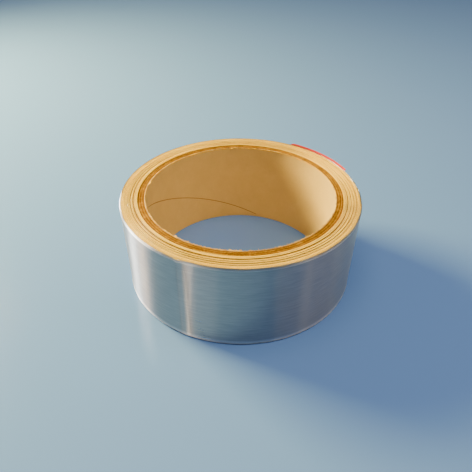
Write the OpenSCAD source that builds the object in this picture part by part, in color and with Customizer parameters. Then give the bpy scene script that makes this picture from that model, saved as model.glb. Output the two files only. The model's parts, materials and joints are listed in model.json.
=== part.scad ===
// Roll of aluminium foil duct tape, wound with its paper release liner on a paperboard core.
// The origin is at the centre of the bore, on the face that the roll lies on. +Z is the bore's axis.
// The strip spirals outwards anticlockwise, seen from above, and its free end lies at the back right.

/* [Roll] */
// Diameter of the core's bore
bore_d = 76.6; // [70:0.1:76.8]
// Diameter over the last turn of tape
roll_d = 96.6; // [96:0.1:120]
// Width of the tape, which is the height of the roll
tape_w = 38; // [20:0.5:75]

/* [Core] */
// Thickness of the smooth paper that lines the bore
inner_facing_t = 0.4; // [0.4:0.05:0.5]
// Thickness of each ply of board
board_ply_t = 0.5; // [0.3:0.05:0.5]
// Thickness of the paper around the outside of the core
outer_facing_t = 0.2; // [0.1:0.05:0.3]

/* [Winding] */
// Number of modelled turns, each of which stands for several real ones
turns = 12; // [4:1:12]
// Share of a turn's thickness that is foil
foil_share = 0.28; // [0.2:0.01:0.35]
// Share of a turn's thickness that is adhesive
adhesive_share = 0.17; // [0.12:0.01:0.25]
// Azimuth of the inner end of the strip, where the first turn is fixed to the core
start_azimuth = 247; // [240:1:300]
// Thickness of the double-sided strip under the first turn
start_strip_t = 0.1; // [0.05:0.01:0.12]
// Length of the double-sided strip, around the core
start_strip_length = 14; // [5:1:25]

/* [Free end] */
// Azimuth at which the strip starts to lift off the roll
lift_azimuth = -10; // [-40:1:0]
// Azimuth at which the foil parts from the liner
peel_azimuth = 8; // [2:1:20]
// Azimuth of the strip's free end
end_azimuth = 52; // [45:1:60]

/* [Pull tab] */
// Azimuth of the edge where the pull tab is stuck down
tab_root_azimuth = 21.5; // [20:0.5:30]
// Azimuth of the pull tab's grip, past the end of the foil
tab_tip_azimuth = 63; // [62:1:70]
// Thickness of the pull tab
tab_t = 0.2; // [0.1:0.05:0.4]
// Thickness of the glue that holds the pull tab to the foil
tab_glue_t = 0.1; // [0.05:0.01:0.2]
// Height by which the pull tab stands above the roll's upper face
tab_rise = 0.7; // [0:0.1:2]
// Height of the pull tab's lower edge
tab_foot = 2; // [1:0.5:4]
// Radius of the pull tab's corners at its grip
tab_corner_r = 4; // [1:0.5:4]

/* [Hidden] */
$fn = 180;

bore_r = bore_d / 2;
board_r = bore_r + inner_facing_t;
outer_facing_r = board_r + 4 * board_ply_t;
core_r = outer_facing_r + outer_facing_t;

// Room left between one turn and the next, between parts that move apart, and at a cut across the strip
turn_gap = 0.02;
part_gap = 0.03;
cut_gap = 0.1;

// The free end lies on the last whole turn, so it adds one more pitch to the roll's radius
pitch = (roll_d / 2 - core_r - start_strip_t) / (turns + 1);
first_r = core_r + start_strip_t;
foil_t = pitch * foil_share;
adhesive_t = pitch * adhesive_share;
liner_t = pitch - foil_t - adhesive_t - turn_gap;

// Distance of each layer from the inside of its turn
liner_in = turn_gap;
adhesive_in = liner_in + liner_t;
foil_in = adhesive_in + adhesive_t;

// Radii of the free end, which lies on the last whole turn
lead_r = first_r + turns * pitch;
tab_glue_r = lead_r + pitch + part_gap;
tab_r = tab_glue_r + tab_glue_t;
tab_top = tape_w + tab_rise;
corner_reach = 0.1;

function degrees_along(length, radius) = length / radius * 180 / PI;

// A tube around the bore's axis
module tube(inner_r, thickness) {
    rotate_extrude()
        translate([inner_r, 0])
            square([thickness, tape_w]);
}

// Part of a ring of tape between two angles about the bore's axis
module arc(inner_r, thickness, from, to) {
    rotate([0, 0, from])
        rotate_extrude(angle = to - from)
            translate([inner_r, 0])
                square([thickness, tape_w]);
}

// One layer of the winding. Each turn is two half rings about centres half a pitch apart, so the layer
// is a smooth spiral that climbs one pitch a turn. The last, part turn ends where the strip lifts off.
module spiral(offset_in, thickness) {
    rotate([0, 0, start_azimuth])
        union() {
            for (turn = [0 : turns - 1]) {
                inner_r = first_r + turn * pitch + offset_in;
                arc(inner_r, thickness, 0, 180);
                translate([pitch / 2, 0, 0])
                    arc(inner_r + pitch / 2, thickness, 180, 360);
            }
            arc(lead_r + offset_in, thickness, 0, lift_azimuth + 360 - start_azimuth);
        }
}

// A layer of the free end, concentric with the turn that it lies on
module free_arc(inner_r, thickness, from, to) {
    arc(inner_r, thickness, from + degrees_along(cut_gap, inner_r), to);
}

module core_inner_facing() {
    color("wheat") tube(bore_r, inner_facing_t);
}

// The four plies differ in shade, as the board is laid up from different reels
module core_board_ply(number, shade) {
    color(shade) tube(board_r + (number - 1) * board_ply_t, board_ply_t);
}

module core_outer_facing() {
    color("tan") tube(outer_facing_r, outer_facing_t);
}

// Double-sided strip that holds the first turn to the core
module start_strip() {
    color("ivory")
        arc(core_r, start_strip_t, start_azimuth, start_azimuth + degrees_along(start_strip_length, core_r));
}

module liner_winding() {
    color("burlywood") spiral(liner_in, liner_t);
}

module adhesive_winding() {
    color("lemonchiffon") spiral(adhesive_in, adhesive_t);
}

module foil_winding() {
    color("silver") spiral(foil_in, foil_t);
}

module liner_lead() {
    color("burlywood") free_arc(lead_r + liner_in, liner_t, lift_azimuth, end_azimuth);
}

module adhesive_lead() {
    color("lemonchiffon") free_arc(lead_r + adhesive_in, adhesive_t, lift_azimuth, peel_azimuth);
}

module foil_lead() {
    color("silver") free_arc(lead_r + foil_in, foil_t, lift_azimuth, peel_azimuth);
}

module adhesive_end() {
    color("lemonchiffon")
        free_arc(lead_r + adhesive_in + part_gap, adhesive_t - part_gap, peel_azimuth, end_azimuth);
}

module foil_end() {
    color("silver") free_arc(lead_r + foil_in, foil_t, peel_azimuth, end_azimuth);
}

module pull_tab_glue() {
    color("mistyrose")
        intersection() {
            arc(tab_glue_r, tab_glue_t, tab_root_azimuth, end_azimuth);
            translate([0, 0, tab_foot])
                cylinder(h = tape_w - tab_foot, r = roll_d);
        }
}

// What comes off one corner of the pull tab's grip to round it. Y runs along the tab and Z is its height.
// The round reaches a little past the tab's edges, so that it meets them at a small angle.
module corner_waste() {
    inset = tab_corner_r - corner_reach;
    translate([tab_r - tab_corner_r, -inset, -inset])
        difference() {
            cube([2 * tab_corner_r, 2 * tab_corner_r, 2 * tab_corner_r]);
            translate([-1, 0, 0])
                rotate([0, 90, 0])
                    cylinder(h = 2 * tab_corner_r + 2, r = tab_corner_r);
        }
}

module pull_tab() {
    color("crimson")
        difference() {
            rotate([0, 0, tab_root_azimuth])
                rotate_extrude(angle = tab_tip_azimuth - tab_root_azimuth)
                    translate([tab_r, tab_foot])
                        square([tab_t, tab_top - tab_foot]);
            rotate([0, 0, tab_tip_azimuth])
                translate([0, 0, tab_top])
                    corner_waste();
            rotate([0, 0, tab_tip_azimuth])
                translate([0, 0, tab_foot])
                    mirror([0, 0, 1])
                        corner_waste();
        }
}

core_inner_facing();
core_board_ply(1, "peru");  // core_board_ply_1
core_board_ply(2, "goldenrod");  // core_board_ply_2
core_board_ply(3, "sienna");  // core_board_ply_3
core_board_ply(4, "peru");  // core_board_ply_4
core_outer_facing();
start_strip();
liner_winding();
adhesive_winding();
foil_winding();
liner_lead();
adhesive_lead();
foil_lead();
adhesive_end();
foil_end();
pull_tab_glue();
pull_tab();
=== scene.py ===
import json
import math

import bpy
import numpy as np
from mathutils import Matrix, Vector


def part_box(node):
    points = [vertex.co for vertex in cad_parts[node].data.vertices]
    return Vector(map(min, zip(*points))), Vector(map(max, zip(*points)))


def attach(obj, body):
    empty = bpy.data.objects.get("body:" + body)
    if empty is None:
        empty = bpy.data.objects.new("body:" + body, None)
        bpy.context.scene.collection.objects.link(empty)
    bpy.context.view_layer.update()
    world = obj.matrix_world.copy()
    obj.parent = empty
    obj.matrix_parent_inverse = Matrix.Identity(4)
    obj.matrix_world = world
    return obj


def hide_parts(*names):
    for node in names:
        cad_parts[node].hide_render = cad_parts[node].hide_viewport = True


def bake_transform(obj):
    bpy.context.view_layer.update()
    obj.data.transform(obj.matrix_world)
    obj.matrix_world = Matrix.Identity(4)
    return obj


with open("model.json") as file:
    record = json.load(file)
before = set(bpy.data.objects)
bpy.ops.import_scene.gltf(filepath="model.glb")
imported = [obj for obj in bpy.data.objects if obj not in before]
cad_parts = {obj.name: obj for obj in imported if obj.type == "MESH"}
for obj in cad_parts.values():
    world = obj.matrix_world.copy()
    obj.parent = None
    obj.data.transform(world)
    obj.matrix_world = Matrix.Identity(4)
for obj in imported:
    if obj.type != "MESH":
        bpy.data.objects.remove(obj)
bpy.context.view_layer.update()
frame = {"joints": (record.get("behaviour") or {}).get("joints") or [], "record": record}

# A roll of foil duct tape with a paper release liner, lying flat. Lengths are in millimetres until a mesh is
# made, and azimuths are in degrees about the bore's axis: 0 is to the right, 90 is at the back.
MM = 0.001

# ---------------------------------------------------------------- sizes taken from the frame


def outer_radius(node):
    """Radius over a node that rings the bore."""
    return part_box(node)[1].x / MM


BORE = next(m for m in frame["record"]["mounts"] if m["name"] == "core_bore")
BORE_R = BORE["dims"]["r_mm"]
TAPE_W = BORE["dims"]["length_mm"]
FACING_R = outer_radius("core_inner_facing")
BOARD_R = [outer_radius("core_board_ply_%d" % ply) for ply in (1, 2, 3, 4)]
CORE_R = outer_radius("core_outer_facing")
ROLL_R = -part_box("foil_winding")[0].y / MM
JOINTS = {joint["name"]: joint for joint in frame["joints"]}
TAB_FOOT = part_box("pull_tab")[0].z / MM
TAB_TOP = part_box("pull_tab")[1].z / MM


def azimuth_of(point):
    """Degrees about the bore's axis, from -180 to 180."""
    return math.degrees(math.atan2(point[1], point[0]))


LIFT_AZIMUTH = azimuth_of(JOINTS["lead_lift"]["pos_m"])
PEEL_AZIMUTH = azimuth_of(JOINTS["foil_peel"]["pos_m"])
TAB_AZIMUTH = azimuth_of(JOINTS["tab_lift"]["pos_m"])
# Azimuths that part.scad sets and the frame doesn't hold
START_AZIMUTH = 247.0
END_AZIMUTH = 52.0
TAB_TIP_AZIMUTH = 63.0

# ---------------------------------------------------------------- the strip of tape
# Its real layers, from the inside of a turn outwards, wound from the core to the free end
WHOLE_TURNS = 39
START_STRIP_T = 0.1
START_STRIP_LENGTH = 14.0
FIRST_R = CORE_R + START_STRIP_T
LINER_T = 0.1
ADHESIVE_T = 0.03
FOIL_T = 0.05
LAYERS = {
    "liner": (0.0, LINER_T),
    "adhesive": (LINER_T, ADHESIVE_T),
    "foil": (LINER_T + ADHESIVE_T, FOIL_T),
}
# Places along the strip are counted in turns from its inner end
LIFT_TURN = WHOLE_TURNS + (LIFT_AZIMUTH + 360 - START_AZIMUTH) / 360
PEEL_TURN = WHOLE_TURNS + (PEEL_AZIMUTH + 360 - START_AZIMUTH) / 360
END_TURN = WHOLE_TURNS + (END_AZIMUTH + 360 - START_AZIMUTH) / 360
PITCH = (ROLL_R - FIRST_R) / (END_TURN + 1)
# How far these stand back from the roll's end faces: the core, and the last two turns' upper and lower edges
CORE_SINK = 0.25
OUTER_SINK = 0.17
UNDER_SINK = 0.60


def value_noise(place, seed, knots, wraps=True):
    """Smooth noise from -1 to 1 along a line that is 1 long, or round a ring if it wraps."""
    values = np.random.default_rng(seed).uniform(-1, 1, knots + 2)
    if wraps:
        values[knots:] = values[:2]
    place = (np.mod(place, 1.0) if wraps else np.clip(place, 0, 1)) * knots
    low = np.minimum(np.floor(place).astype(int), knots)
    share = place - low
    share = share * share * (3 - 2 * share)
    return values[low] * (1 - share) + values[np.minimum(low + 1, knots + 1)] * share


def smooth(low, high, x):
    """0 below low, 1 above high, and a smooth rise between them."""
    t = np.clip((x - low) / (high - low), 0, 1)
    return t * t * (3 - 2 * t)


# Marks on the outer turn: a nick in its upper edge and a low crease. Each has its middle, in degrees past the
# strip's inner end, and its half-width in degrees.
NICK = (-3.6, 0.9)
NICK_DEPTH = 0.3
CREASE = (-3.9, 0.5)
CREASE_HEIGHT = 0.02
# Where the strip's inner end shows through, the wall steps down after a long, slow rise. The step falls by
# the sum of these curves, as (height, half-width in degrees).
STEP_AT = 0.3
STEP_RISE = 14.0
STEP_FALLS = [(0.034, 0.65), (0.060, 2.0)]
# The flat after the step: its depth, and where it starts, is deepest and ends
FLAT_DEPTH = 0.05
FLAT = (1.6, 13.0, 30.0)
# Waves round the wall, as (height, seed, how many)
WALL_WAVES = [(0.035, 11, 9), (0.012, 12, 31)]


def past_start(azimuth):
    """Degrees past the strip's inner end, from -180 to 180."""
    return np.mod(azimuth - START_AZIMUTH + 180, 360) - 180


def hump(x, middle, width):
    """A bell curve that is 1 high."""
    return np.exp(-(((x - middle) / width) ** 2))


def telegraph(azimuth):
    """How far the outer wall stands out at an azimuth."""
    turned = past_start(azimuth)
    step = sum(height * hump(np.maximum(turned, STEP_AT), STEP_AT, width) for height, width in STEP_FALLS)
    creases = CREASE_HEIGHT * hump(turned, *CREASE) + step * smooth(STEP_AT - STEP_RISE, STEP_AT, turned)
    start, deepest, end = FLAT
    flat = -FLAT_DEPTH * smooth(start, deepest, turned) * (1 - smooth(deepest, end, turned))
    waves = sum(height * value_noise(azimuth / 360, seed, knots) for height, seed, knots in WALL_WAVES)
    return creases + flat + waves


def turn_radius(turn, azimuth):
    """Radius of the inside of the strip at a place along it. The wall's marks fade out towards the core."""
    share = np.clip(turn / END_TURN, 0, 1)
    return FIRST_R + PITCH * turn + share * share * telegraph(azimuth)


# Turns whose edge stands back from the end face, as (place along the strip, how many turns, depth)
SUNK_TURNS = [(0.0, 1.2, 0.30), (5.0, 0.6, 0.22), (8.8, 2.4, 0.34), (12.6, 0.5, 0.18), (15.4, 2.2, 0.34),
              (19.6, 0.5, 0.16), (21.9, 1.8, 0.32), (25.6, 0.5, 0.14), (27.9, 1.5, 0.26), (32.1, 0.6, 0.12),
              (35.0, 0.8, 0.14)]
SUNK_RAMP = 0.12
# How far the other edges stand back: on average, and as waves of (height, how many along the strip)
MEAN_SINK = 0.06
SINK_WAVES = [(0.05, 44), (0.03, 900)]
# Seeds of the strip's upper and lower edges
UPPER_EDGE = 50
LOWER_EDGE = 60


def edge_sink(turn, seed):
    """How far the strip's edge stands back from the end face at a place along it."""
    place = turn / (END_TURN + 1)
    sink = MEAN_SINK
    for number, (height, knots) in enumerate(SINK_WAVES):
        sink = sink + height * value_noise(place, seed + number, knots, wraps=False)
    fade = 0.75 + 0.25 * value_noise(place, seed + len(SINK_WAVES), 160, wraps=False)
    for at, turns, depth in SUNK_TURNS:
        shape = smooth(at, at + SUNK_RAMP, turn) * (1 - smooth(at + turns, at + turns + SUNK_RAMP, turn))
        sink = sink + depth * shape * fade
    return np.maximum(sink, 0.0)


# ---------------------------------------------------------------- meshes


def finish_piece(name, vertices, faces, sharp_deg, tones=None, crumple=None):
    """A mesh object from points in millimetres, smooth except across sharp edges."""
    mesh = bpy.data.meshes.new(name)
    mesh.from_pydata((np.asarray(vertices) * MM).tolist(), [], faces)
    mesh.update()
    mesh.shade_smooth()
    mesh.set_sharp_from_angle(angle=math.radians(sharp_deg))
    for title, values in (("tone", tones), ("crumple", crumple)):
        if values is not None:
            attribute = mesh.attributes.new(title, "FLOAT", "POINT")
            attribute.data.foreach_set("value", np.asarray(values, np.float32).ravel())
    piece = bpy.data.objects.new(name, mesh)
    bpy.context.scene.collection.objects.link(piece)
    return piece


def swept(name, rows, ring, sharp_deg=35, tones=None, crumple=None):
    """A closed solid whose section has one point in each row. A ring joins up, and a strip gets end caps."""
    rows = np.asarray(rows, float)
    row_count, column_count = rows.shape[:2]
    row, column = np.meshgrid(np.arange(row_count), np.arange(column_count - (not ring)), indexing="ij")
    next_row = (row + 1) % row_count
    next_column = (column + 1) % column_count
    corners = [row * column_count + column, next_row * column_count + column,
               next_row * column_count + next_column, row * column_count + next_column]
    faces = np.stack(corners, -1).reshape(-1, 4)
    points = rows.reshape(-1, 3)
    # The sum over the faces has the sign of the volume, which says whether they look outwards
    corner = points[faces]
    volume = np.einsum("ij,ij->", corner[:, 0], np.cross(corner[:, 1], corner[:, 2]))
    volume += np.einsum("ij,ij->", corner[:, 0], np.cross(corner[:, 2], corner[:, 3]))
    faces = faces.tolist()
    if not ring:
        near = [r * column_count for r in range(row_count)]
        far = [r * column_count + column_count - 1 for r in range(row_count)]
        faces += [near[::-1], far]
        for cap in (near[::-1], far):
            p = points[cap]
            for k in range(1, row_count - 1):
                volume += p[0] @ np.cross(p[k], p[k + 1])
    if volume < 0:
        faces = [face[::-1] for face in faces]
    return finish_piece(name, points, faces, sharp_deg, tones, crumple)


def polar(radius, azimuth, z):
    """Points from radii, azimuths and heights of any shapes that broadcast together."""
    radius, azimuth, z = np.broadcast_arrays(radius, np.radians(azimuth), z)
    return np.stack([radius * np.cos(azimuth), radius * np.sin(azimuth), z], -1)


RIM_COLUMNS = 1440
RIM_AZIMUTHS = np.arange(RIM_COLUMNS) * 360 / RIM_COLUMNS

# ---------------------------------------------------------------- the core
CORE_TOP = TAPE_W - CORE_SINK
# The facing's helical seam: the azimuth of its foot, its climb in mm per degree, and its gap from the ends
SEAM_FOOT_AZIMUTH = 73.0
SEAM_CLIMB = 0.2787
SEAM_MARGIN = 1.3
# The seam's section: distance up the wall from its middle, and depth of the wall there
SEAM_SECTION = [(-0.9, 0.0), (-0.24, 0.0), (-0.17, 0.20), (0.12, 0.20), (0.20, -0.05), (0.9, 0.0)]
SEAM_OPEN_DEPTH = 0.1
# Tones, which the materials turn into darker paper below PLAIN and more golden paper above it. Where the
# frayed edge falls towards the board the darker tone is painted shade, and the golden tone along the torn
# edge is partly the fibres' lighter colour and partly painted highlight.
PLAIN = 1.0
SEAM_DARKENING = 0.55
FRAY_FIBRES_AND_GLINT = 1.05
FACING_ROWS = 10
# How far the facing's frayed edge stands above the board, and how deep its plain wall starts below it
FRAY_RISE = 0.12
FRAY_DEPTH = 0.9


def rough(seed, amount):
    """Torn-board roughness round a rim, at three scales."""
    coarse = value_noise(RIM_AZIMUTHS / 360, seed, 120)
    fine = value_noise(RIM_AZIMUTHS / 360, seed + 1, 480)
    finest = np.random.default_rng(seed + 2).uniform(-1, 1, RIM_COLUMNS)
    return amount * (0.35 * coarse + 0.4 * fine + 0.25 * finest)


def facing_tube():
    """Paper that lines the bore, with one helical seam and a frayed upper edge."""
    foot = SEAM_FOOT_AZIMUTH + SEAM_MARGIN / SEAM_CLIMB
    top = SEAM_FOOT_AZIMUTH + (TAPE_W - SEAM_MARGIN) / SEAM_CLIMB
    seam_z = np.interp(RIM_AZIMUTHS, [foot, top, top + 20, foot + 340],
                       [SEAM_MARGIN, TAPE_W - SEAM_MARGIN, TAPE_W - SEAM_MARGIN, SEAM_MARGIN], period=360)
    seam_on = ((RIM_AZIMUTHS >= foot) & (RIM_AZIMUTHS <= top)).astype(float)
    out_of_round = 0.06 * value_noise(RIM_AZIMUTHS / 360, 21, 7)
    fray = np.clip(value_noise(RIM_AZIMUTHS / 360, 22, 420), 0, 1) ** 2
    fray = fray + 1.6 * np.clip(value_noise(RIM_AZIMUTHS / 360, 23, 170) - 0.3, 0, 1)
    wall_r = BORE_R + out_of_round
    rows, tones = [], []

    def row(radius, z, tone=PLAIN):
        rows.append(polar(radius, RIM_AZIMUTHS, z))
        tones.append(np.broadcast_to(tone, RIM_AZIMUTHS.shape))

    # The lower edge, and the wall up to the seam
    row(BORE_R + 0.10, 0.02 + np.abs(rough(31, 0.05)), FRAY_FIBRES_AND_GLINT)
    row(wall_r, 0.14)
    low_z, high_z = 0.25, CORE_TOP - FRAY_DEPTH
    below = np.clip(seam_z + SEAM_SECTION[0][0], low_z + 0.05, None)
    above = np.clip(seam_z + SEAM_SECTION[-1][0], None, high_z - 0.05)
    for share in np.linspace(0, 1, FACING_ROWS)[:-1]:
        row(wall_r, low_z + (below - low_z) * share)
    # The seam, and the wall above it
    for rise, depth in SEAM_SECTION:
        z = np.clip(seam_z + rise, low_z + 0.06, high_z - 0.06)
        row(wall_r + depth * seam_on, z, PLAIN - SEAM_DARKENING * seam_on * (depth > SEAM_OPEN_DEPTH))
    for share in np.linspace(0, 1, FACING_ROWS)[1:]:
        row(wall_r, above + (high_z - above) * share)
    # The frayed edge leans over the bore, and falls away towards the board, where painted shade darkens it
    upper_z = CORE_TOP + FRAY_RISE
    jag = rough(24, 0.36)
    fray_tone_and_glint = FRAY_FIBRES_AND_GLINT + rough(27, 0.55)
    row(wall_r - 0.10 * fray, upper_z - 0.45 + jag * 0.3, FRAY_FIBRES_AND_GLINT)
    row(wall_r - 0.34 * fray, upper_z - 0.16 + jag * 0.7, 0.5 + 0.5 * fray_tone_and_glint)
    row(wall_r - 0.48 * fray + 0.02, upper_z + jag + 0.10 * fray, fray_tone_and_glint)
    row(BORE_R + 0.08 - 0.20 * fray, upper_z + 0.02 + rough(26, 0.16), fray_tone_and_glint)
    # Painted shade: the last rows, falling towards the board, get tones below PLAIN
    row(BORE_R + 0.18, upper_z - 0.03 + rough(28, 0.12), 0.7 + rough(29, 0.4))
    row(FACING_R - 0.01, upper_z - 0.10 + rough(30, 0.08), 0.5)
    row(FACING_R - 0.01, 0.05)
    piece = swept("core_facing_paper", rows, ring=True, sharp_deg=60, tones=tones)
    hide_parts("core_inner_facing")
    return piece


# The crown of a ply's end, as (share of the way across the ply, how far it stands back)
PLY_CROWN = [(0.0, 0.14), (0.14, 0.02), (0.38, 0.0), (0.62, 0.0), (0.86, 0.02), (1.0, 0.14)]
PLY_TEAR = 0.15
PLY_WANDER = 0.06
PLY_FOOT = 0.02
PLY_FOOT_TEAR = 0.12


def board_ring(name, inner_r, outer_r, seed, height, node):
    """One ply of board, torn at both ends by the saw that cut the core. Its tones are painted light and
    shade: darker in its hollows and low torn spots, lighter on high ones.
    """
    rows, tones = [], []
    for number, (share, sink) in enumerate(PLY_CROWN):
        radius = inner_r + (outer_r - inner_r) * share
        wander = 0.0 if share in (0.0, 1.0) else rough(seed + 5 * number + 3, PLY_WANDER)
        torn = rough(seed + 5 * number, PLY_TEAR)
        rows.append(polar(radius + wander, RIM_AZIMUTHS, height - sink + torn))
        # Painted light and shade: the tone rises with the torn height and falls where the crown sinks
        tones.append(PLAIN + 1.5 * torn - 1.6 * sink)
    for number, (share, sink) in enumerate(PLY_CROWN[::-1]):
        radius = inner_r + (outer_r - inner_r) * share
        torn = np.abs(rough(seed + 40 + number, PLY_FOOT_TEAR))
        rows.append(polar(radius, RIM_AZIMUTHS, PLY_FOOT + sink + torn))
        tones.append(np.full(RIM_COLUMNS, PLAIN))
    piece = swept(name, rows, ring=True, sharp_deg=60, tones=tones)
    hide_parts(node)
    return piece


FIBRES = 260
FIBRE_SIDES = 4
FIBRE_STEPS = 4
# The fibres' lighter golden tone is partly their own colour and partly painted highlight
FIBRE_COLOUR_AND_GLINT = 1.35


def rim_fibres():
    """Loose paper fibres along the core's upper inside edge, each a small bent spike."""
    random = np.random.default_rng(77)
    vertices, faces = [], []
    sides, steps = FIBRE_SIDES, FIBRE_STEPS
    for _ in range(FIBRES):
        azimuth = random.uniform(0, 360)
        length = random.uniform(0.25, 0.75)
        thickness = random.uniform(0.04, 0.10)
        lean = random.uniform(-0.9, 0.9)
        curl = random.uniform(-0.8, 0.5)
        out = -np.array([math.cos(math.radians(azimuth)), math.sin(math.radians(azimuth)), 0.0])
        along = np.array([-out[1], out[0], 0.0])
        up = np.array([0.0, 0.0, 1.0])
        point = -out * (BORE_R + random.uniform(0.02, 0.25))
        point[2] = CORE_TOP + random.uniform(-0.02, 0.12)
        heading = out * random.uniform(0.3, 1.0) + along * lean + up * random.uniform(0.05, 0.5)
        heading /= np.linalg.norm(heading)
        first = len(vertices)
        for step in range(steps):
            width = thickness * (1 - 0.8 * step / (steps - 1))
            side = np.cross(heading, up)
            side /= np.linalg.norm(side)
            over = np.cross(side, heading)
            for corner in range(sides):
                angle = 2 * math.pi * corner / sides
                vertices.append(point + width * (math.cos(angle) * side + 0.6 * math.sin(angle) * over))
            point = point + heading * length / (steps - 1)
            heading = heading + up * curl * 0.3
            heading /= np.linalg.norm(heading)
        for step in range(steps - 1):
            for corner in range(sides):
                a = first + step * sides + corner
                b = first + step * sides + (corner + 1) % sides
                faces.append([a, b, b + sides, a + sides])
        faces.append([first + corner for corner in range(sides)][::-1])
        faces.append([first + (steps - 1) * sides + corner for corner in range(sides)])
    tones = np.full(len(vertices), FIBRE_COLOUR_AND_GLINT)
    return finish_piece("core_rim_fibres", vertices, faces, sharp_deg=50, tones=tones)


# ---------------------------------------------------------------- the winding
COIL_COLUMNS_PER_TURN = 240
COIL_FOOT = 0.03
LOWER_SHARE = 0.5
BURR = 0.015
# Tone of the cut edges: its mean, and its waves as (height, how many along the strip)
MEAN_TONE = 0.97
TONE_WAVES = [(0.26, 71), (0.04, 500)]
# Painted shade: where an edge stands back by more than this, it is darker by so much for each millimetre
DARK_SINK = 0.14
SUNK_EDGE_PAINTED_SHADE = 4.2
# The foil's cut edges, set back in the end face, are darkened to this share as painted shade
FOIL_EDGE_SHADE = 0.3


def coil(name, layer, to_turn, seed, sink_extra, nodes):
    """One layer of the winding, as one continuous strip from the core out to a place along it."""
    offset, thickness = LAYERS[layer]
    turn = np.linspace(0, to_turn, int(to_turn * COIL_COLUMNS_PER_TURN) + 1)
    azimuth = START_AZIMUTH + 360 * turn
    radius = turn_radius(turn, azimuth) + offset
    outermost = smooth(LIFT_TURN - 2.02, LIFT_TURN - 2, turn)
    upper_sink = edge_sink(turn, UPPER_EDGE)
    lower_sink = LOWER_SHARE * edge_sink(turn, LOWER_EDGE)
    top = TAPE_W - np.maximum(upper_sink, OUTER_SINK * outermost) - sink_extra
    bottom = COIL_FOOT + np.maximum(lower_sink, UNDER_SINK * outermost) + sink_extra
    burr = BURR * value_noise(turn / to_turn, seed, 2400, wraps=False)
    rows = [
        polar(radius, azimuth, bottom),
        polar(radius, azimuth, top + burr),
        polar(radius + thickness, azimuth, top - burr),
        polar(radius + thickness, azimuth, bottom),
    ]
    tone = MEAN_TONE
    for number, (height, knots) in enumerate(TONE_WAVES, 1):
        tone = tone + height * value_noise(turn / to_turn, seed + number, knots, wraps=False)
    # Painted shade on edges that stand back from the end face
    tone = tone - SUNK_EDGE_PAINTED_SHADE * np.clip(upper_sink - DARK_SINK, 0, 1)
    if layer == "foil":
        tone = FOIL_EDGE_SHADE * tone
    piece = swept(name, rows, ring=False, sharp_deg=30, tones=[tone] * 4)
    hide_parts(*nodes)
    return piece


def start_film():
    """Double-sided film under the start of the first turn, a little narrower than the tape."""
    azimuth = START_AZIMUTH + np.linspace(0.0, np.degrees(START_STRIP_LENGTH / CORE_R), 60)
    low = 0.45 + 0.08 * value_noise(azimuth / 360, 95, 200)
    high = TAPE_W - 0.55 + 0.08 * value_noise(azimuth / 360, 96, 200)
    rows = [polar(CORE_R + 0.01, azimuth, low), polar(CORE_R + 0.01, azimuth, high),
            polar(FIRST_R - 0.01, azimuth, high), polar(FIRST_R - 0.01, azimuth, low)]
    piece = swept("start_film", rows, ring=False)
    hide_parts("start_strip")
    return piece


# Sections of a wall's edges, as (distance from the edge, how far the wall stands in). Slitting rolls the
# foil's upper edge over and its lower edge under, with a slight lip beside each. The other layers are square.
ROLLED_EDGE = [(0.0, 0.34), (0.03, 0.25), (0.08, 0.17), (0.16, 0.09), (0.26, 0.03), (0.38, -0.02),
               (0.50, -0.055), (0.64, -0.075), (0.80, -0.06), (1.0, -0.03), (1.25, 0.0)]
UNDER_EDGE = [(0.0, 1.00), (0.10, 0.78), (0.22, 0.52), (0.35, 0.26), (0.47, 0.06), (0.56, -0.05),
              (0.64, -0.09), (0.78, -0.055), (0.92, -0.01), (1.1, 0.0)]
SQUARE_EDGE = [(0.0, 0.0)]
WALL_ROWS = 14
WALL_COLUMNS_PER_TURN = 1800
# Tones and roughness of the foil's rolled edges: a painted highlight on the edges rolled over, and painted
# shade on the part that is rolled under by more than this.
EDGE_PAINTED_HIGHLIGHT = 1.9
UNDERSIDE_PAINTED_SHADE = 0.4
UNDERSIDE_FROM = 0.1
EDGE_CRUMPLE = 1.4
EDGE_WAVE = 0.04
# Crumpled places, as (amount, degrees past the strip's inner end, half-width in degrees)
CRUMPLES = [(1.0, 0.6, 1.5), (0.35, -3.9, 0.7)]
# Dents in the foil, as (height, seed, how many round the roll, radians up the wall, phase)
DENTS = [(0.010, 81, 70, 5.1, 0.4), (0.006, 82, 200, 13.7, 1.1)]


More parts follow.
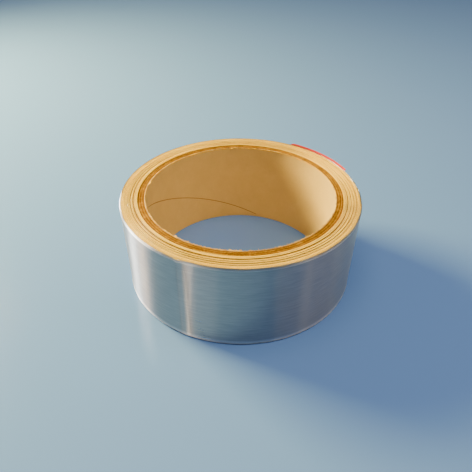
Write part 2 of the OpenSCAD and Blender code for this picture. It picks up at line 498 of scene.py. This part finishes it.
def lengthwise(name, layer, from_turn, to_turn, nodes):
    """A stretch of one layer with a finely divided wall: the last turn, or part of the free end."""
    offset, thickness = LAYERS[layer]
    turn = np.linspace(from_turn, to_turn, int((to_turn - from_turn) * WALL_COLUMNS_PER_TURN) + 1)
    azimuth = START_AZIMUTH + 360 * turn
    radius = turn_radius(turn, azimuth) + offset
    if layer == "foil":
        rolled, under, upper_sink, lower_sink, dents = ROLLED_EDGE, UNDER_EDGE, 0.0, 0.0, DENTS
    else:
        rolled, under, upper_sink, lower_sink, dents = SQUARE_EDGE, SQUARE_EDGE, OUTER_SINK, UNDER_SINK, []
    top = TAPE_W - upper_sink - EDGE_WAVE * np.abs(value_noise(azimuth / 360, 71, 60))
    top = top - NICK_DEPTH * hump(past_start(azimuth), *NICK)
    bottom = COIL_FOOT + lower_sink
    rows, tones, crumples = [], [], []
    crumple = sum(amount * hump(past_start(azimuth), at, width) for amount, at, width in CRUMPLES)

    def row(radius, z, tone=PLAIN, bent=0.0):
        rows.append(polar(radius, azimuth, z))
        tones.append(np.full(azimuth.shape, tone))
        crumples.append(crumple + EDGE_CRUMPLE * bent)

    # The outside, from the lower edge to the upper one
    # Rows rolled under by more than UNDERSIDE_FROM get painted shade; the other rolled rows get a painted
    # highlight
    outside = [(bottom + rise, inward, UNDERSIDE_PAINTED_SHADE if inward > UNDERSIDE_FROM else EDGE_PAINTED_HIGHLIGHT)
               for rise, inward in under]
    for share in np.linspace(0, 1, WALL_ROWS + 2)[1:-1]:
        outside.append((bottom + (top - bottom) * share, 0.0, PLAIN))
    outside += [(top - drop, inward, EDGE_PAINTED_HIGHLIGHT if inward else PLAIN) for drop, inward in rolled[::-1]]
    for z, inward, tone in outside:
        share = np.mean(z) / TAPE_W
        dent = sum(height * value_noise(azimuth / 360, seed, knots) * math.sin(radians_up * share + phase)
                   for height, seed, knots, radians_up, phase in dents)
        row(radius + thickness - inward + dent, z, tone, float(inward != 0.0))
    # The inside, back down to the lower edge
    row(radius - rolled[0][1] + 0.02, top - 0.03)
    row(radius, top - 0.5)
    row(radius, bottom + 0.9)
    row(radius - under[0][1] + 0.02, bottom + 0.03)
    piece = swept(name, rows, ring=False, sharp_deg=40, tones=tones, crumple=crumples)
    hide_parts(*nodes)
    return piece


FILM_COLUMNS = 160
FILM_ROWS = 12


def tab_film(name, inner_r, thickness, from_azimuth, to_azimuth, foot, top, corner_r, node):
    """A film round the outside of the free end, with round corners at its tip. It stands out a little there,
    and its upper edge slopes down to it."""
    azimuth = np.linspace(from_azimuth, to_azimuth, FILM_COLUMNS)
    length_left = np.radians(to_azimuth - azimuth) * inner_r
    into = np.clip(corner_r - length_left, 0, corner_r)
    cut = corner_r - np.sqrt(np.maximum(corner_r ** 2 - into ** 2, 0))
    wave = 0.02 * value_noise(azimuth / 360, 91, 40) + 0.05 * smooth(to_azimuth - 8, to_azimuth, azimuth)
    slope = 0.12 * smooth(from_azimuth + 12, to_azimuth, azimuth)
    slanted_top = top - slope - 0.03 * np.abs(value_noise(azimuth / 360, 92, 90))
    radius = inner_r + wave
    rows = []
    up = np.linspace(0, 1, FILM_ROWS)
    for face_r, shares in ((radius + thickness, up), (radius, up[::-1])):
        for share in shares:
            rows.append(polar(face_r, azimuth, foot + cut + (slanted_top - foot - 2 * cut) * share))
    piece = swept(name, rows, ring=False, sharp_deg=40, tones=np.ones(np.shape(rows)[:2]))
    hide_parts(node)
    return piece


# ---------------------------------------------------------------- materials


class Shader:
    """A Principled material with short calls for the nodes that feed it."""

    def __init__(self, name, roughness, metallic=0.0, specular=0.5):
        self.material = bpy.data.materials.new(name)
        self.material.use_nodes = True
        self.tree = self.material.node_tree
        self.bsdf = self.tree.nodes["Principled BSDF"]
        self.bsdf.inputs["Roughness"].default_value = roughness
        self.bsdf.inputs["Metallic"].default_value = metallic
        self.bsdf.inputs["Specular IOR Level"].default_value = specular
        self.position = self.tree.nodes.new("ShaderNodeTexCoord").outputs["Object"]

    def link(self, source, target):
        self.tree.links.new(source, target)

    def noise(self, scale, stretch=(1, 1, 1), detail=4.0, rough=0.5, distortion=0.0):
        """Noise over the object's own coordinates, in metres, squeezed by stretch on each axis."""
        mapping = self.tree.nodes.new("ShaderNodeMapping")
        mapping.inputs["Scale"].default_value = stretch
        self.link(self.position, mapping.inputs["Vector"])
        node = self.tree.nodes.new("ShaderNodeTexNoise")
        node.inputs["Scale"].default_value = scale
        node.inputs["Detail"].default_value = detail
        node.inputs["Roughness"].default_value = rough
        node.inputs["Distortion"].default_value = distortion
        self.link(mapping.outputs["Vector"], node.inputs["Vector"])
        return node.outputs["Fac"]

    def levels(self, source, low, high, to_low, to_high):
        node = self.tree.nodes.new("ShaderNodeMapRange")
        node.inputs["From Min"].default_value = low
        node.inputs["From Max"].default_value = high
        node.inputs["To Min"].default_value = to_low
        node.inputs["To Max"].default_value = to_high
        self.link(source, node.inputs["Value"])
        return node.outputs["Result"]

    def maths(self, operation, first, second):
        node = self.tree.nodes.new("ShaderNodeMath")
        node.operation = operation
        for socket, value in zip(node.inputs, (first, second)):
            if isinstance(value, (int, float)):
                socket.default_value = value
            else:
                self.link(value, socket)
        return node.outputs["Value"]

    def attribute(self, name):
        node = self.tree.nodes.new("ShaderNodeAttribute")
        node.attribute_name = name
        return node.outputs["Fac"]

    def colours(self, source, stops):
        """A colour ramp from (place, (r, g, b)) stops."""
        node = self.tree.nodes.new("ShaderNodeValToRGB")
        ramp = node.color_ramp
        while len(ramp.elements) < len(stops):
            ramp.elements.new(0.5)
        for element, (place, colour) in zip(ramp.elements, stops):
            element.position = place
            element.color = (*colour, 1)
        self.link(source, node.inputs["Fac"])
        return node.outputs["Color"]

    def toned(self, colour, tone):
        """A colour made lighter or darker by a number."""
        node = self.tree.nodes.new("ShaderNodeVectorMath")
        node.operation = "SCALE"
        self.link(colour, node.inputs[0])
        self.link(tone, node.inputs["Scale"])
        return node.outputs["Vector"]

    def blended(self, colour, other, share):
        """One colour going over to another as a number goes from 0 to 1."""
        node = self.tree.nodes.new("ShaderNodeMix")
        node.data_type = "RGBA"
        colours = [socket for socket in node.inputs if socket.type == "RGBA"]
        self.link(share, node.inputs["Factor"])
        for socket, value in zip(colours, (colour, other)):
            if isinstance(value, tuple):
                socket.default_value = (*value, 1)
            else:
                self.link(value, socket)
        return next(socket for socket in node.outputs if socket.type == "RGBA")

    def bump(self, height, distance):
        """A bumpy surface normal. The distance is in metres."""
        node = self.tree.nodes.new("ShaderNodeBump")
        node.inputs["Distance"].default_value = distance
        node.inputs["Strength"].default_value = 1.0
        self.link(height, node.inputs["Height"])
        return node.outputs["Normal"]

    def finish(self, colour=None, roughness=None, normal=None):
        for source, name in ((colour, "Base Color"), (roughness, "Roughness"), (normal, "Normal")):
            if source:
                self.link(source, self.bsdf.inputs[name])
        return self.material


def foil_material():
    """Rolled foil: fine lines run round the roll, so highlights spread up and down it. The mesh's tones paint
    highlights on its rolled edges and shade on its undersides and on the cut edges set back in the end face,
    and its crumple makes them duller."""
    s = Shader("rolled_foil", roughness=0.30, metallic=1.0)
    s.bsdf.inputs["Anisotropic"].default_value = 1.0
    s.bsdf.inputs["Anisotropic Rotation"].default_value = 0.25
    tangent = s.tree.nodes.new("ShaderNodeTangent")
    tangent.direction_type = "RADIAL"
    tangent.axis = "Z"
    s.link(tangent.outputs["Tangent"], s.bsdf.inputs["Tangent"])
    fine = s.noise(120, stretch=(1, 1, 18), detail=4, rough=0.7)
    broad = s.noise(40, stretch=(1, 1, 30), detail=3)
    patches = s.noise(45, detail=2)
    darker, middle, lighter = (0.37, 0.37, 0.38), (0.43, 0.43, 0.43), (0.50, 0.50, 0.49)
    colour = s.colours(fine, [(0.32, darker), (0.50, middle), (0.68, lighter)])
    rough = s.maths("ADD", s.levels(broad, 0.3, 0.7, 0.285, 0.315), s.levels(patches, 0.3, 0.7, -0.02, 0.03))
    rough = s.maths("ADD", rough, s.maths("MULTIPLY", s.attribute("crumple"), 0.18))
    normal = s.bump(fine, 0.000008)
    return s.finish(s.toned(colour, s.attribute("tone")), rough, normal)


def liner_material(name, dark, middle, light):
    """Cream release paper. Where its cut edge stands back, the mesh's tones darken it with painted shade."""
    s = Shader(name, roughness=0.7, specular=0.02)
    grain = s.noise(900, detail=5, rough=0.65)
    cloud = s.noise(55, detail=3)
    tint = s.maths("ADD", s.maths("MULTIPLY", grain, 0.6), s.maths("MULTIPLY", cloud, 0.4))
    colour = s.colours(tint, [(0.30, dark), (0.50, middle), (0.72, light)])
    # Painted shade colour, which low tones blend towards
    shadow = (0.30, 0.12, 0.018)
    colour = s.blended(shadow, colour, s.levels(s.attribute("tone"), 0.3, 1.0, 0.0, 1.0))
    return s.finish(colour, s.levels(grain, 0.3, 0.7, 0.62, 0.85), s.bump(grain, 0.00004))


def adhesive_material():
    """Tacky clear acrylic over foil, with the faint pebbling that peeling leaves."""
    s = Shader("acrylic_adhesive", roughness=0.18, specular=0.6)
    pebbles = s.noise(700, detail=3)
    cloud = s.noise(80, detail=2)
    colour = s.colours(cloud, [(0.3, (0.62, 0.58, 0.46)), (0.7, (0.76, 0.72, 0.58))])
    return s.finish(colour, s.levels(pebbles, 0.3, 0.7, 0.12, 0.32), s.bump(pebbles, 0.00006))


def board_material(name, dark, middle, light):
    """Chipboard or kraft paper: short fibres with darker flecks. The mesh's tones paint shade in its hollows
    and light on its high torn spots.
    """
    s = Shader(name, roughness=0.85, specular=0.05)
    fibres = s.noise(700, stretch=(1, 1, 0.4), detail=6, rough=0.7, distortion=0.6)
    flecks = s.noise(260, detail=3)
    tint = s.maths("ADD", s.maths("MULTIPLY", fibres, 0.65), s.maths("MULTIPLY", flecks, 0.35))
    # The tone scales the colour: painted shade in hollows and low torn spots, painted light on high ones
    colour = s.toned(s.colours(tint, [(0.32, dark), (0.5, middle), (0.68, light)]), s.attribute("tone"))
    return s.finish(colour, None, s.bump(fibres, 0.00012))


def facing_material():
    """Smooth calendered paper with a faint wire mark. The mesh's tones darken the seam, paint shade where the
    frayed edge falls towards the board, and make the frayed edge golden, partly with painted highlight."""
    s = Shader("facing_paper", roughness=0.7, specular=0.03)
    mottle = s.noise(130, detail=4, rough=0.6)
    felt = s.noise(1500, stretch=(1, 1, 0.5), detail=4)
    tint = s.maths("ADD", s.maths("MULTIPLY", mottle, 0.7), s.maths("MULTIPLY", felt, 0.3))
    dark, middle, light = (0.57, 0.40, 0.15), (0.61, 0.43, 0.165), (0.65, 0.47, 0.185)
    shadow, golden = (0.22, 0.09, 0.015), (0.84, 0.49, 0.03)
    colour = s.colours(tint, [(0.30, dark), (0.52, middle), (0.74, light)])
    tone = s.attribute("tone")
    # Tones below PLAIN blend towards this dark colour: painted shade where the frayed edge falls towards the
    # board, and the seam's darker gap
    colour = s.blended(shadow, colour, s.levels(tone, 0.4, 1.0, 0.0, 1.0))
    # Tones above PLAIN blend towards golden: partly the torn fibres' lighter colour, partly painted highlight
    colour = s.blended(colour, golden, s.levels(tone, 1.0, 1.1, 0.0, 1.0))
    return s.finish(colour, s.levels(mottle, 0.3, 0.7, 0.62, 0.76), s.bump(felt, 0.00002))


def red_film_material():
    """Semi-gloss red film with faint draw lines along it."""
    s = Shader("red_film", roughness=0.35, specular=0.5)
    lines = s.noise(120, stretch=(1, 1, 10), detail=3)
    cloud = s.noise(90, detail=2)
    colour = s.colours(cloud, [(0.3, (0.58, 0.03, 0.03)), (0.7, (0.72, 0.06, 0.05))])
    return s.finish(colour, s.levels(lines, 0.3, 0.7, 0.28, 0.42), s.bump(lines, 0.00002))


def glue_material(name, low, high):
    """Thin clear glue or double-sided film, slightly streaked."""
    s = Shader(name, roughness=0.25, specular=0.5)
    streaks = s.noise(200, stretch=(1, 1, 6), detail=3)
    colour = s.colours(streaks, [(0.3, low), (0.7, high)])
    return s.finish(colour, s.levels(streaks, 0.3, 0.7, 0.18, 0.36), s.bump(streaks, 0.00002))


FOIL = foil_material()
CUT_LINER = liner_material("release_paper_edge", (0.88, 0.54, 0.055), (0.95, 0.64, 0.085), (0.97, 0.73, 0.14))
LINER = liner_material("release_paper", (0.74, 0.60, 0.33), (0.80, 0.67, 0.39), (0.86, 0.74, 0.47))
ADHESIVE = adhesive_material()
FACING = facing_material()
BROWN = board_material("brown_board", (0.08, 0.030, 0.001), (0.19, 0.080, 0.004), (0.33, 0.155, 0.010))
OCHRE = board_material("ochre_board", (0.15, 0.065, 0.003), (0.29, 0.140, 0.008), (0.45, 0.245, 0.022))
KRAFT = board_material("kraft_paper", (0.14, 0.055, 0.008), (0.26, 0.11, 0.018), (0.38, 0.18, 0.04))
RED = red_film_material()
TAB_GLUE = glue_material("tab_glue", (0.62, 0.45, 0.40), (0.78, 0.60, 0.54))
STRIP_FILM = glue_material("strip_film", (0.70, 0.66, 0.56), (0.84, 0.80, 0.70))


def dress(piece, material, slot, body=None):
    """Gives a piece its material, and its body unless it bends between two. The slot is not used."""
    piece.data.materials.append(material)
    if body:
        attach(piece, body)
    return piece


# ---------------------------------------------------------------- the pieces on the roll
dress(facing_tube(), FACING, "facing_paper", "roll")
# Each ply's material, its slot, and how far its end stands above the core's
PLY_LOOKS = [(BROWN, "brown_board", 0.00), (OCHRE, "ochre_board", 0.05),
             (BROWN, "brown_board", -0.06), (OCHRE, "ochre_board", -0.02)]
PLY_INNER_R = [FACING_R, *BOARD_R[:3]]
KRAFT_SINK = 0.12
# How far the adhesive and the foil stand back from the liner's edges
ADHESIVE_BACK = 0.09
FOIL_BACK = 0.07
for ply, (inner_r, outer_r, (material, slot, rise)) in enumerate(zip(PLY_INNER_R, BOARD_R, PLY_LOOKS), 1):
    ring = board_ring("core_board_ring_%d" % ply, inner_r, outer_r, 100 * ply, CORE_TOP + rise,
                      "core_board_ply_%d" % ply)
    dress(ring, material, slot, "roll")
dress(board_ring("core_kraft_wrap", BOARD_R[3], CORE_R, 700, CORE_TOP - KRAFT_SINK, "core_outer_facing"),
      KRAFT, "kraft_paper", "roll")
dress(rim_fibres(), FACING, "facing_paper", "roll")
dress(coil("liner_coil", "liner", LIFT_TURN, 200, 0.0, ["liner_winding"]), CUT_LINER, "liner_paper", "roll")
dress(coil("adhesive_coil", "adhesive", LIFT_TURN, 210, ADHESIVE_BACK, ["adhesive_winding"]),
      ADHESIVE, "acrylic_adhesive", "roll")
dress(coil("foil_coil", "foil", LIFT_TURN - 1, 220, FOIL_BACK, ["foil_winding"]), FOIL, "foil", "roll")
dress(lengthwise("foil_outer_turn", "foil", LIFT_TURN - 1, LIFT_TURN, ["foil_winding"]), FOIL, "foil", "roll")
dress(start_film(), STRIP_FILM, "strip_film", "roll")

# ---------------------------------------------------------------- the free end, which bends as it lifts


def on_wall(azimuth):
    """A point on the roll's outside, half way up, in metres."""
    angle = math.radians(azimuth)
    return (ROLL_R * MM * math.cos(angle), ROLL_R * MM * math.sin(angle), TAPE_W * MM / 2)


# Where each bend starts and ends. The lift's bend ends a little before the peel's starts.
BEND_GAP = 2
BEND_SPAN = 13
LIFT_BEND = (on_wall(LIFT_AZIMUTH), on_wall(PEEL_AZIMUTH - BEND_GAP))
PEEL_BEND = (on_wall(PEEL_AZIMUTH), on_wall(PEEL_AZIMUTH + BEND_SPAN))
LOOKS = {
    "liner": (LINER, "liner_paper"),
    "adhesive": (ADHESIVE, "acrylic_adhesive"),
    "foil": (FOIL, "foil"),
}
LIFTS = ("roll", "lead", LIFT_BEND)
PEELS = ("lead", "peeled_foil", PEEL_BEND)

for name, layer, start, stop, node, (inner_body, outer_body, bend) in (
    ("liner_free_end", "liner", LIFT_TURN, END_TURN, "liner_lead", LIFTS),
    ("adhesive_lifting", "adhesive", LIFT_TURN, PEEL_TURN, "adhesive_lead", LIFTS),
    ("foil_lifting", "foil", LIFT_TURN, PEEL_TURN, "foil_lead", LIFTS),
    ("adhesive_peeling", "adhesive", PEEL_TURN, END_TURN, "adhesive_end", PEELS),
    ("foil_peeling", "foil", PEEL_TURN, END_TURN, "foil_end", PEELS),
):
    piece = lengthwise(name, layer, start, stop, [node])
    dress(piece, *LOOKS[layer])
    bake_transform(piece)

TAB_GLUE_R = ROLL_R + 0.04
GLUE_T = 0.05
GLUE_AZIMUTH = TAB_AZIMUTH + 0.3
GLUE_MARGIN = 0.3
TAB_T = 0.10
TAB_CORNER_R = 4.0
glue = tab_film("tab_glue_film", TAB_GLUE_R, GLUE_T, GLUE_AZIMUTH, END_AZIMUTH,
                TAB_FOOT + GLUE_MARGIN, TAPE_W - GLUE_MARGIN, 0.0, "pull_tab_glue")
dress(glue, TAB_GLUE, "tab_glue")
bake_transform(glue)
tab = tab_film("pull_tab_film", TAB_GLUE_R + GLUE_T, TAB_T, TAB_AZIMUTH, TAB_TIP_AZIMUTH,
               TAB_FOOT, TAB_TOP, TAB_CORNER_R, "pull_tab")
dress(tab, RED, "red_film")
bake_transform(tab)

# ---------------------------------------------------------------- floor, light and camera
# Lengths are in metres from here on
FLOOR_HALF = 1.5
FLOOR_COLOUR = (0.12, 0.245, 0.66)


def plain_floor():
    """A large pale blue floor, slightly glossy."""
    mesh = bpy.data.meshes.new("floor")
    corners = [(x * FLOOR_HALF, y * FLOOR_HALF, 0) for x, y in ((-1, -1), (1, -1), (1, 1), (-1, 1))]
    mesh.from_pydata(corners, [], [(0, 1, 2, 3)])
    floor = bpy.data.objects.new("floor", mesh)
    bpy.context.scene.collection.objects.link(floor)
    s = Shader("floor", roughness=0.20, specular=0.5)
    s.bsdf.inputs["Base Color"].default_value = (*FLOOR_COLOUR, 1)
    mesh.materials.append(s.material)


def panel(name, azimuth, elevation, distance, size, power, colour, lights):
    """A soft rectangular light aimed at the middle of the roll. It lights only dull surfaces, or shows only
    in glossy ones."""
    light = bpy.data.lights.new(name, "AREA")
    light.shape = "RECTANGLE"
    light.size, light.size_y = size
    light.energy = power
    light.color = colour
    lamp = bpy.data.objects.new(name, light)
    bpy.context.scene.collection.objects.link(lamp)
    a, e = math.radians(azimuth), math.radians(elevation)
    away = Vector((math.cos(a) * math.cos(e), math.sin(a) * math.cos(e), math.sin(e)))
    target = Vector((0, 0, TAPE_W * MM / 2))
    lamp.location = target + away * distance
    lamp.rotation_euler = away.to_track_quat("Z", "Y").to_euler()
    lamp.visible_glossy = lights == "gloss"
    lamp.visible_diffuse = lights == "dull"


plain_floor()
panel("key", 150, 27, 0.50, (0.20, 0.17), 15.0, (1.0, 0.77, 0.25), "dull")
panel("fill_right", -10, 45, 0.90, (0.5, 0.5), 3.1, (1.0, 0.82, 0.55), "dull")
panel("overhead", 270, 80, 0.90, (0.7, 0.7), 7.0, (1.0, 0.83, 0.50), "dull")
panel("rim_gloss", 158, 35, 0.80, (0.34, 0.12), 6.5, (1.0, 0.95, 0.86), "gloss")
# Low upright strips, which the foil draws out into bands
STRIP_ELEVATION = 6
STRIP_DISTANCE = 0.80
STRIP_HEIGHT = 0.15
for name, azimuth, width, power, colour in (
    ("strip_back_left", 136, 0.08, 12.0, (1.0, 0.94, 0.78)),
    ("strip_left", 167, 0.12, 4.4, (1.0, 0.97, 0.90)),
    ("strip_left_warm", 180, 0.13, 1.25, (1.0, 0.55, 0.22)),
    ("strip_crease", 228.5, 0.04, 0.95, (1.0, 0.80, 0.58)),
    ("strip_front_left", 242, 0.26, 0.17, (1.0, 0.80, 0.60)),
    ("strip_front_right", 326, 0.12, 0.14, (1.0, 0.74, 0.44)),
    ("strip_front_right_wide", 326, 0.80, 0.42, (1.0, 0.68, 0.34)),
    ("strip_right_front", 345, 0.50, 0.20, (1.0, 0.68, 0.34)),
    ("strip_right", 15, 0.65, 0.45, (1.0, 0.84, 0.55)),
):
    panel(name, azimuth, STRIP_ELEVATION, STRIP_DISTANCE, (width, STRIP_HEIGHT), power, colour, "gloss")

SKY_COLOUR = (0.58, 0.72, 0.90)
SKY_STRENGTH = 0.22
world = bpy.data.worlds.new("studio")
world.use_nodes = True
sky = world.node_tree.nodes["Background"]
sky.inputs["Color"].default_value = (*SKY_COLOUR, 1)
sky.inputs["Strength"].default_value = SKY_STRENGTH
bpy.context.scene.world = world

# The photo's viewpoint, and the direction and lens that frame the roll as it does
CAMERA_DISTANCE = 4.493 * ROLL_R * MM
CAMERA_ELEVATION = math.radians(40.25)
CAMERA_PITCH = math.radians(40.49)
CAMERA_YAW = math.radians(-0.58)
CAMERA_ROLL = math.radians(0.31)
camera = bpy.data.objects.new("camera", bpy.data.cameras.new("camera"))
bpy.context.scene.collection.objects.link(camera)
camera.data.sensor_width = 36
camera.data.lens = 36.28
camera.data.shift_y = 0.0614
ahead = Vector((math.sin(CAMERA_YAW) * math.cos(CAMERA_PITCH), math.cos(CAMERA_YAW) * math.cos(CAMERA_PITCH),
                -math.sin(CAMERA_PITCH)))
aim = (-ahead).to_track_quat("Z", "Y").to_matrix() @ Matrix.Rotation(CAMERA_ROLL, 3, "Z")
camera.matrix_world = Matrix.Translation(
    (0, -CAMERA_DISTANCE * math.cos(CAMERA_ELEVATION), CAMERA_DISTANCE * math.sin(CAMERA_ELEVATION))
) @ aim.to_4x4()
camera.data.clip_start = 0.01
bpy.context.scene.camera = camera
